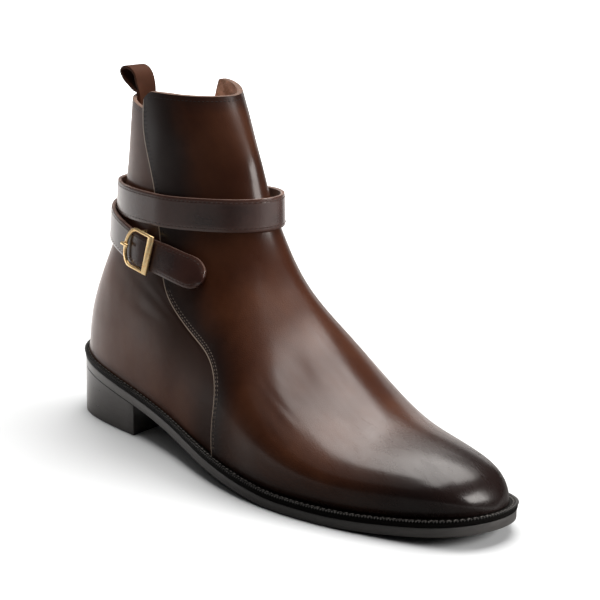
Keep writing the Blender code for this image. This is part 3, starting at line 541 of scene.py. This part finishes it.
def sew(name, places, thread, finish):  # one bead of thread, copied to every place
    bpy.ops.object.select_all(action="DESELECT")
    bpy.ops.mesh.primitive_uv_sphere_add(segments=8, ring_count=5, radius=0.5)
    bead = bpy.context.object
    bpy.ops.object.mode_set(mode="EDIT")
    bpy.ops.transform.rotate(value=math.radians(90), orient_axis="Y", center_override=(0, 0, 0))
    bpy.ops.transform.resize(value=thread["size"])
    bpy.ops.object.mode_set(mode="OBJECT")
    bpy.ops.object.shade_smooth()
    bead.data.materials.append(finish)
    copies = []
    for spot, ahead, normal in places:
        out = Vector(normal).normalized()
        ahead = (ahead - out * ahead.dot(out)).normalized()
        ahead = Matrix.Rotation(math.radians(thread["slant"]), 3, out) @ ahead
        copy = bpy.data.objects.new(name, bead.data.copy())
        bpy.context.scene.collection.objects.link(copy)
        turn = Matrix((ahead, out.cross(ahead), out)).transposed().to_4x4()
        copy.matrix_world = Matrix.Translation(spot - out * thread["sink"]) @ turn
        copies.append(copy)
    bpy.data.objects.remove(bead)
    workOn(copies[0])
    for copy in copies:
        copy.select_set(True)
    bpy.ops.object.join()
    row = bpy.context.object
    row.name = name
    bpy.ops.object.transform_apply(location=True, rotation=True, scale=True)
    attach(row, "root")
    print(name, len(places), "stitches")


def pressCreases(piece, slot, crease, parts=12):
    # soft troughs with a low ridge on each side, pressed into the faces of one slot
    surface = surfaceOf(piece, [slot])
    verts = {v for face in piece.data.polygons if face.material_index == slot for v in face.vertices}
    normals = {v: piece.data.vertices[v].normal.copy() for v in verts}
    for line in crease["lines"]:
        marks = [surface.find_nearest(Vector(point) * mm)[0] for point in line]
        spans = len(marks) - 1
        steps = spans * parts
        tree = KDTree(steps + 1)
        for i in range(steps + 1):
            k = min(i // parts, spans - 1)
            tree.insert(marks[k].lerp(marks[k + 1], i / parts - k), i)
        tree.balance()
        for v in verts:
            _, i, gap = tree.find(piece.data.vertices[v].co)
            reach = gap / crease["width"]
            if reach < crease["reach"]:
                ease = math.sin(math.pi * (i + 1) / (steps + 2)) ** crease["taper"]
                ridge = crease["ridge"] * math.exp(-((reach - crease["ridgeAt"]) ** 2))
                shape = ridge - math.exp(-(reach ** 2))
                piece.data.vertices[v].co += normals[v] * (crease["depth"] * ease * shape)
    piece.data.update()


def settle(piece, node):
    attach(piece, "root")
    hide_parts(node)
    print(piece.name, len(piece.data.polygons), "faces")


# Upper
upper = {
    "regular": 2.0, "smooth": 2, "edgeCrease": 0.85,
    "behind": (-0.3, 0.0, 0.06), "above": (0.08, 0.0, 0.3), "inside": (ankleAxis.x, ankleAxis.y, 0.15),
    "underTilt": -0.5, "weltGap": 0.0012, "rimTilt": 0.2, "rimAbove": 0.165,
    "thread": {"size": (0.0016, 0.00046, 0.00042), "slant": 8.0, "sink": 0.00006},
    "pitch": 0.0023, "seamTrim": 0.003, "collarInset": 0.0026, "collarTrim": 0.002, "paleBelow": 0.085,
}
creases = {  # points on the leather, in mm
    "width": 0.0015, "depth": 0.00008, "reach": 4, "ridge": 0.4, "ridgeAt": 2.0, "taper": 0.7,
    "lines": [
        [(16, -31, 62), (24, -34, 56), (33, -35.5, 51), (43, -35.5, 46), (52, -35, 41)],
        [(24, -37, 54), (33, -39, 48), (42, -40, 42), (50, -40, 38)],
        [(26, -26, 62), (34, -27, 57), (43, -28, 51), (50, -27, 46)],
        [(34, -41, 40), (42, -43, 35), (52, -44, 31)],
        [(20, 34, 58), (30, 37, 50), (42, 38, 43), (54, 37, 37)],
        [(30, 30, 58), (40, 31, 51), (52, 31, 44)],
    ],
}
rimSlot, quarterSlot, panelSlot, liningSlot, stepSlot, underSlot = range(6)

bootUpper = copyNode("upper", "bootUpper", upper["regular"])
collarEdge = rawLeather("collarEdge", rgb(0.17, 0.098, 0.066), rgb(0.075, 0.039, 0.026))
cutEdge = rawLeather("cutEdge", rgb(0.36, 0.27, 0.21), rgb(0.20, 0.135, 0.095))
quarterLeather, panelLeather = burnishedQuarter(quarterLook), burnishedPanel(panelLook)
for finish in (collarEdge, quarterLeather, panelLeather, suedeLining(liningLook), cutEdge, collarEdge):
    bootUpper.data.materials.append(finish)
creaseSharp(bootUpper, upper["edgeCrease"])
paintRegion(bootUpper, upper["behind"], (1, 0, 0), quarterSlot)
paintRegion(bootUpper, upper["above"], (0, 0, -1), panelSlot)
paintRegion(bootUpper, upper["inside"], (0, -1, 0), liningSlot)
weltTop = BVHTree.FromObject(frame["nodes"]["welt"], bpy.context.evaluated_depsgraph_get())
for face in bootUpper.data.polygons:
    if face.material_index == rimSlot:
        nearWelt = weltTop.find_nearest(face.center)[3] < upper["weltGap"]
        if face.normal.z < upper["underTilt"] and nearWelt:
            face.material_index = underSlot
        elif face.normal.z < upper["rimTilt"] or face.center.z < upper["rimAbove"]:
            face.material_index = stepSlot
smoothOut(bootUpper, upper["smooth"])
panelEdges = borders(bootUpper, panelSlot, stepSlot)
panelCollar = borders(bootUpper, panelSlot, rimSlot)
quarterCollar = borders(bootUpper, quarterSlot, rimSlot)
feather = borders(bootUpper, panelSlot, underSlot) + borders(bootUpper, quarterSlot, underSlot)
keepDistance(bootUpper, "seam", panelEdges)
keepDistance(bootUpper, "rim", panelCollar + quarterCollar)
keepDistance(bootUpper, "foot", feather)
pressCreases(bootUpper, panelSlot, creases)
settle(bootUpper, "upper")
collarLines = [len(line) for line in panelCollar + quarterCollar]
print("panel edges", [len(line) for line in panelEdges], "collar", collarLines)

darkThread = waxedThread("darkThread", (0.014, 0.009, 0.008))
brownThread = waxedThread("brownThread", (0.062, 0.036, 0.030))
paleThread = waxedThread("paleThread", (0.26, 0.21, 0.17))
seamPlaces = []
for line in panelEdges:
    for inset in panelLook["stitchRows"]:
        seamPlaces += stitchLine(bootUpper, line, panelSlot, inset, upper["pitch"], upper["seamTrim"])
# the seam thread is dark on the shaft and pale over the waist
shaftPlaces = [place for place in seamPlaces if place[0].z > upper["paleBelow"]]
waistPlaces = [place for place in seamPlaces if place[0].z <= upper["paleBelow"]]
sew("shaftStitches", shaftPlaces, upper["thread"], darkThread)
sew("waistStitches", waistPlaces, upper["thread"], paleThread)
collarPlaces = []
for slot, lines in ((panelSlot, panelCollar), (quarterSlot, quarterCollar)):
    for line in lines:
        collarPlaces += stitchLine(
            bootUpper, line, slot, upper["collarInset"], upper["pitch"], upper["collarTrim"],
        )
sew("collarStitches", collarPlaces, upper["thread"], darkThread)

# Strap
strap = {
    "edgeCrease": 0.8, "facing": 0.5, "inset": 0.0019, "dome": 0.00025, "smooth": 2,
    "pitch": 0.0027, "trim": 0.002,
    "thread": {"size": (0.0017, 0.00056, 0.0005), "slant": 8.0, "sink": 0.00004},
}
edgeSlot, faceSlot, backSlot = range(3)

ankleStrap = copyNode("strap", "ankleStrap")
strapEdge = rawLeather("strapEdge", rgb(0.20, 0.120, 0.092), rgb(0.085, 0.046, 0.036), 0.55)
strapBack = rawLeather("strapBack", rgb(0.20, 0.11, 0.065), rgb(0.10, 0.052, 0.03))
for finish in (strapEdge, strapLeather("strapLeather", strapLook), strapBack):
    ankleStrap.data.materials.append(finish)
creaseSharp(ankleStrap, strap["edgeCrease"])
for face in ankleStrap.data.polygons:
    away = face.center - ankleAxis
    away.z = 0.0
    facing = face.normal.dot(away.normalized())
    if abs(facing) <= strap["facing"]:
        face.material_index = edgeSlot
    else:
        face.material_index = faceSlot if facing > 0 else backSlot
workOn(ankleStrap, "EDIT")
ankleStrap.active_material_index = faceSlot
bpy.ops.object.material_slot_select()
bpy.ops.mesh.inset(thickness=strap["inset"], use_even_offset=True)
bpy.ops.transform.shrink_fatten(value=strap["dome"])
bpy.ops.object.mode_set(mode="OBJECT")
smoothOut(ankleStrap, strap["smooth"])
strapEdges = borders(ankleStrap, faceSlot, edgeSlot)
keepDistance(ankleStrap, "edge", strapEdges)
settle(ankleStrap, "strap")
print("strap edges", [len(line) for line in strapEdges])
strapPlaces = []
for line in strapEdges:
    strapPlaces += stitchLine(
        ankleStrap, line, faceSlot, strapLook["stitchRow"], strap["pitch"], strap["trim"],
    )
sew("strapStitches", strapPlaces, strap["thread"], brownThread)

# Buckle
buckle = {
    "pieces": (("buckle_frame", "buckleRing", 0.0006), ("buckle_prong", "bucklePin", 0.00035)),
    "segments": 4, "flat": 2, "barGrow": 0.0010, "barEdge": -0.0938, "barNear": 0.0003,
    "ahead": Vector((0.985, 0.009, -0.171)),
}
gold = goldPlate(goldLook)
for node, name, width in buckle["pieces"]:
    metal = copyNode(node, name)
    workOn(metal, "EDIT")
    bpy.ops.mesh.select_all(action="SELECT")
    bpy.ops.mesh.dissolve_limited(angle_limit=math.radians(buckle["flat"]))
    if node == "buckle_frame":  # the flat front bar is broad: its inner edge moves back
        bpy.ops.mesh.select_all(action="DESELECT")
        bpy.ops.mesh.select_mode(type="VERT")
        bpy.ops.object.mode_set(mode="OBJECT")
        for vertex in metal.data.vertices:
            vertex.select = abs(vertex.co.dot(buckle["ahead"]) - buckle["barEdge"]) < buckle["barNear"]
        print("bar corners", sum(vertex.select for vertex in metal.data.vertices))
        workOn(metal, "EDIT")
        bpy.ops.transform.translate(value=buckle["ahead"] * -buckle["barGrow"])
    bpy.ops.object.mode_set(mode="OBJECT")
    roundEdges(metal, width, buckle["segments"])
    metal.data.materials.append(gold)
    settle(metal, node)

# Pull tab
tab = {"edgeCrease": 0.75, "smooth": 2}
tabLook = dict(
    strapLook, warm=rgb(0.052, 0.021, 0.012), dark=rgb(0.030, 0.012, 0.007), rim=rgb(0.060, 0.025, 0.015),
    rough=0.6, shine=0.04, coat=0.0,
)
pullTab = copyNode("pull_loop", "pullTab")
pullTab.data.materials.append(strapLeather("tabLeather", tabLook))
creaseSharp(pullTab, tab["edgeCrease"])
smoothOut(pullTab, tab["smooth"])
settle(pullTab, "pull_loop")

# Sole, heel and sock
sole = {
    "downTilt": -0.6, "edgeRound": 0.0006, "heelRound": 0.0008, "channelInset": 0.0065, "channelWide": 0.0009,
    "channelDeep": 0.0005, "liftInset": 0.0045,
}
groundLook = {
    "dark": rgb(0.030, 0.020, 0.015), "light": rgb(0.075, 0.050, 0.036), "bare": rgb(0.16, 0.115, 0.085),
    "cloudScale": 60.0, "cloudRough": 0.2, "scuffScale": 420.0, "scuffStretch": (7.0, 1.0, 1.0),
    "scuffBand": (0.58, 0.70), "scuffShare": 0.5, "rough": 0.55, "strength": 0.4, "depth": 0.0002,
}
liftLook = {
    "dark": rgb(0.012, 0.012, 0.012), "light": rgb(0.026, 0.026, 0.026), "fineScale": 900.0, "fineDeep": 0.2,
    "treadPitch": 0.0024, "treadSlant": 0.35, "treadBand": (0.25, 0.75), "rough": 0.7,
    "strength": 0.7, "depth": 0.0006,
}


def wornSole(look):  # the tread side of the leather sole, stained and scuffed
    paint = Paint("soleGround")
    cloud = paint.noise(paint.place(), look["cloudScale"], 5.0)
    scuff = paint.noise(paint.place(stretch=look["scuffStretch"]), look["scuffScale"])
    colour = paint.blend(cloud.fade(*noiseBand), look["dark"], look["light"])
    colour = paint.blend(scuff.fade(*look["scuffBand"]) * look["scuffShare"], colour, look["bare"])
    return paint.shade(
        Base_Color=colour, Roughness=look["rough"] + (cloud - 0.5) * look["cloudRough"],
        Normal=paint.bump(scuff + cloud, look["strength"], look["depth"]),
    )


def topLift(look):  # rubber with a fine tread
    paint = Paint("topLift")
    place = paint.place()
    across = paint.axis(place, "Y") + paint.axis(place, "X") * look["treadSlant"]
    half = look["treadPitch"] / 2
    ribs = across.maths("PINGPONG", across, half) / half
    fine = paint.noise(place, look["fineScale"])
    relief = ribs.fade(*look["treadBand"]) + fine * look["fineDeep"]
    return paint.shade(
        Base_Color=paint.blend(fine.fade(*noiseBand), look["dark"], look["light"]), Roughness=look["rough"],
        Normal=paint.bump(relief, look["strength"], look["depth"]),
    )


def pickGround(piece, width):  # rounds the edges and picks the faces that look down, in edit mode
    for face in piece.data.polygons:
        face.material_index = int(face.normal.z < sole["downTilt"])
    roundEdges(piece, width, slot=0)
    for face in piece.data.polygons:
        face.select = face.material_index == 1
    workOn(piece, "EDIT")


soleLeather = copyNode("outsole", "soleLeather")
soleLeather.data.materials.append(blackEdge("soleEdge", (0.085, 0.083, 0.081), 0.38, shine=0.9))
soleLeather.data.materials.append(wornSole(groundLook))
pickGround(soleLeather, sole["edgeRound"])
bpy.ops.mesh.inset(thickness=sole["channelInset"])
for depth in (-sole["channelDeep"], sole["channelDeep"]):  # the channel that hides the sole stitch
    bpy.ops.mesh.inset(thickness=sole["channelWide"] / 2, depth=depth)
bpy.ops.object.mode_set(mode="OBJECT")
settle(soleLeather, "outsole")

heelBlock = copyNode("heel", "heelBlock")
heelBlock.data.materials.append(blackEdge("heelWax", (0.050, 0.047, 0.045), 0.30, shine=0.6))
heelBlock.data.materials.append(topLift(liftLook))
pickGround(heelBlock, sole["heelRound"])
bpy.ops.mesh.inset(thickness=sole["liftInset"])
bpy.ops.object.mode_set(mode="OBJECT")
settle(heelBlock, "heel")

sockBoard = copyNode("insole", "sockBoard")
sockBoard.data.materials.append(rawLeather("sockLeather", rgb(0.26, 0.16, 0.095), rgb(0.16, 0.09, 0.052)))
roundEdges(sockBoard, sole["edgeRound"])
settle(sockBoard, "insole")

# Welt, wheeled along its rim and stitched to the sole
welt = {
    "topTilt": 0.6, "round": 0.0004, "wheelPitch": 0.0016, "wheelInset": 0.0005,
    "wheelMark": {"size": (0.0024, 0.0010, 0.0013), "slant": 90.0, "sink": 0.00005},
    "stitchPitch": 0.0031, "stitchInset": 0.0019,
    "stitch": {"size": (0.0022, 0.0007, 0.0006), "slant": 14.0, "sink": 0.0},
}
weltStrip = copyNode("welt", "weltStrip")
weltWax = blackEdge("weltWax", (0.004, 0.0035, 0.003), 0.6, 0.0003, 0.10)
weltSide, weltTopSlot = range(2)
for slot in (weltSide, weltTopSlot):
    weltStrip.data.materials.append(weltWax)
for face in weltStrip.data.polygons:
    face.material_index = weltTopSlot if face.normal.z > welt["topTilt"] else weltSide
weltRim = max(  # the outer of two lines reaches farther forward
    borders(weltStrip, weltTopSlot, weltSide),
    key=lambda line: max(weltStrip.data.vertices[v].co.x for v in line),
)
print("welt rim", len(weltRim))
# the wheel marks are a little lighter than the welt wax: a painted glint on the knurl
weltWheel = blackEdge("weltWheel", (0.022, 0.021, 0.020), 0.36, 0.0002)
greyThread = waxedThread("greyThread", (0.20, 0.19, 0.18))
wheelPlaces = stitchLine(weltStrip, weltRim, weltTopSlot, welt["wheelInset"], welt["wheelPitch"])
sew("weltWheelMarks", wheelPlaces, welt["wheelMark"], weltWheel)
weltPlaces = stitchLine(weltStrip, weltRim, weltTopSlot, welt["stitchInset"], welt["stitchPitch"])
sew("weltStitches", weltPlaces, welt["stitch"], greyThread)
roundEdges(weltStrip, welt["round"])
settle(weltStrip, "welt")

# Studio
studio = {
    "turn": 45.54, "tilt": 15.38, "away": 1.0164, "aim": (0.0005, 0.00644, 0.080), "roll": 1.39,
    "lens": 118.72, "sensor": 36.0, "shift": (0.01533, 0.02233), "clip": 0.01,
    "lightTint": (1.0, 0.955, 0.92), "skyTint": rgb(0.9, 0.95, 1.0), "skyLevel": (0.03, 1.15),
}
ground = {  # white cards lie on it behind the heel and before the toe
    "size": 16.0, "at": (0, 0, -0.0004), "seenTone": rgb(0.72, 0.755, 0.78), "horizon": (0.25, 0.9),
    "rearCard": (-0.24, -0.10), "rearSlant": 0.9, "toeCard": (0.28, 0.45), "cardTone": rgb(0.85, 0.85, 0.85),
    "underBand": (-0.10, 0.06), "underRear": rgb(0.45, 0.45, 0.45), "underToe": rgb(0.13, 0.13, 0.13),
    "rearGlow": 0.8, "rearEnd": (-0.05, 0.30), "toeGlow": 0.5, "toeStart": (-0.15, 0.02),
    "frontGlow": 0.12, "frontEnd": (-0.75, -0.45),
}
turn, tilt, roll = (math.radians(studio[key]) for key in ("turn", "tilt", "roll"))
back = Vector((math.sin(turn) * math.cos(tilt), -math.cos(turn) * math.cos(tilt), math.sin(tilt)))
right = Vector((math.cos(turn), math.sin(turn), 0.0))
up = back.cross(right)
rightRolled = right * math.cos(roll) + up * math.sin(roll)
upRolled = up * math.cos(roll) - right * math.sin(roll)
bpy.ops.object.camera_add()
camera = bpy.context.object
facing = Matrix((rightRolled, upRolled, back)).transposed().to_4x4()
camera.matrix_world = Matrix.Translation(Vector(studio["aim"]) + back * studio["away"]) @ facing
camera.data.lens = studio["lens"]
camera.data.sensor_width = studio["sensor"]
camera.data.shift_x, camera.data.shift_y = studio["shift"]
camera.data.clip_start = studio["clip"]
bpy.context.scene.camera = camera

bpy.ops.object.select_all(action="DESELECT")
bpy.ops.mesh.primitive_plane_add(size=ground["size"], location=ground["at"])
floor = bpy.context.object
floor.name = "studioFloor"
floorPaint = Paint("studioFloor")
seen = floorPaint.add("ShaderNodeLightPath", out="Is Camera Ray")
across, along = (floorPaint.axis(floorPaint.place(), name) for name in "XY")
rearCard = 1 - (across - along.least(0.0) * ground["rearSlant"]).fade(*ground["rearCard"])
toeCard = across.fade(*ground["toeCard"])
under = floorPaint.blend(across.fade(*ground["underBand"]), ground["underRear"], ground["underToe"])
bounce = floorPaint.blend(rearCard.most(toeCard), under, ground["cardTone"])
rearGlow = rearCard * (1 - along.fade(*ground["rearEnd"])) * ground["rearGlow"]
toeGlow = toeCard * along.fade(*ground["toeStart"]) * ground["toeGlow"]
frontGlow = (1 - along.fade(*ground["frontEnd"])) * ground["frontGlow"]
cardGlow = (rearGlow + toeGlow).most(frontGlow)
floorTone = floorPaint.blend(seen, bounce, ground["seenTone"])
reach = floorPaint.add("ShaderNodeVectorMath", {"operation": "LENGTH"}, {0: floorPaint.place()}, out="Value")
far = reach.fade(*ground["horizon"])
glow = floorPaint.blend((far * seen).most(cardGlow * (1 - seen)), rgb(0, 0, 0), rgb(1, 1, 1))
floor.data.materials.append(floorPaint.shade(
    Base_Color=floorTone, Roughness=1.0, Specular_IOR_Level=0.0, Emission_Color=glow, Emission_Strength=1.0,
))

lights = [
    {"name": "topSoftbox", "at": (-0.375, 0.43, 1.3), "size": (0.75, 1.35), "power": 21.5},
    {"name": "vampSoftbox", "at": (0.215, 0.725, 1.3), "size": (0.43, 0.73), "power": 7.2},
    {"name": "toeSoftbox", "at": (-1.0, 1.15, 1.3), "size": (0.5, 1.1), "power": 2.4},
    {"name": "midSoftbox", "at": (0.15, -0.045, 1.3), "size": (0.30, 0.81), "power": 5.0},
    {"name": "frontSoftbox", "at": (-0.42, -0.9, 1.3), "size": (1.15, 1.2), "power": 1.5},
    {"name": "rearSoftbox", "at": (-1.2, 0.5, 0.35), "aim": (0, 0, 0.1), "size": (0.5, 0.5), "power": 4.5},
    {"name": "backSoftbox", "at": (-0.65, 1.15, 0.26), "aim": (0, 0, 0.08), "size": (0.7, 0.3), "power": 0.6},
    {"name": "rightSoftbox", "at": (1.15, 0.45, 0.7), "aim": (0, 0, 0.12), "size": (0.8, 0.5), "power": 15.0},
]
for lamp in lights:
    bpy.ops.object.light_add(type="AREA", location=lamp["at"])
    light = bpy.context.object
    light.name = lamp["name"]
    at = Vector(lamp["at"])
    aim = Vector(lamp.get("aim", (at.x, at.y, 0.0)))  # those over the boot hang level
    light.rotation_euler = (at - aim).to_track_quat("Z", "Y").to_euler()
    light.data.shape = "RECTANGLE"
    light.data.size, light.data.size_y = lamp["size"]
    light.data.energy = lamp["power"]
    light.data.color = studio["lightTint"]
bpy.context.scene.view_settings.view_transform = "Standard"
world = bpy.data.worlds.new("studioWorld")
bpy.context.scene.world = world
world.use_nodes = True
backdrop = world.node_tree.nodes["Background"]
backdrop.inputs["Color"].default_value = studio["skyTint"]
direct = world.node_tree.nodes.new("ShaderNodeLightPath")
level = world.node_tree.nodes.new("ShaderNodeMapRange")  # white to look at, and a faint fill on the boot
for name, strength in zip(("To Min", "To Max"), studio["skyLevel"]):
    level.inputs[name].default_value = strength
world.node_tree.links.new(direct.outputs["Is Camera Ray"], level.inputs["Value"])
world.node_tree.links.new(level.outputs["Result"], backdrop.inputs["Strength"])
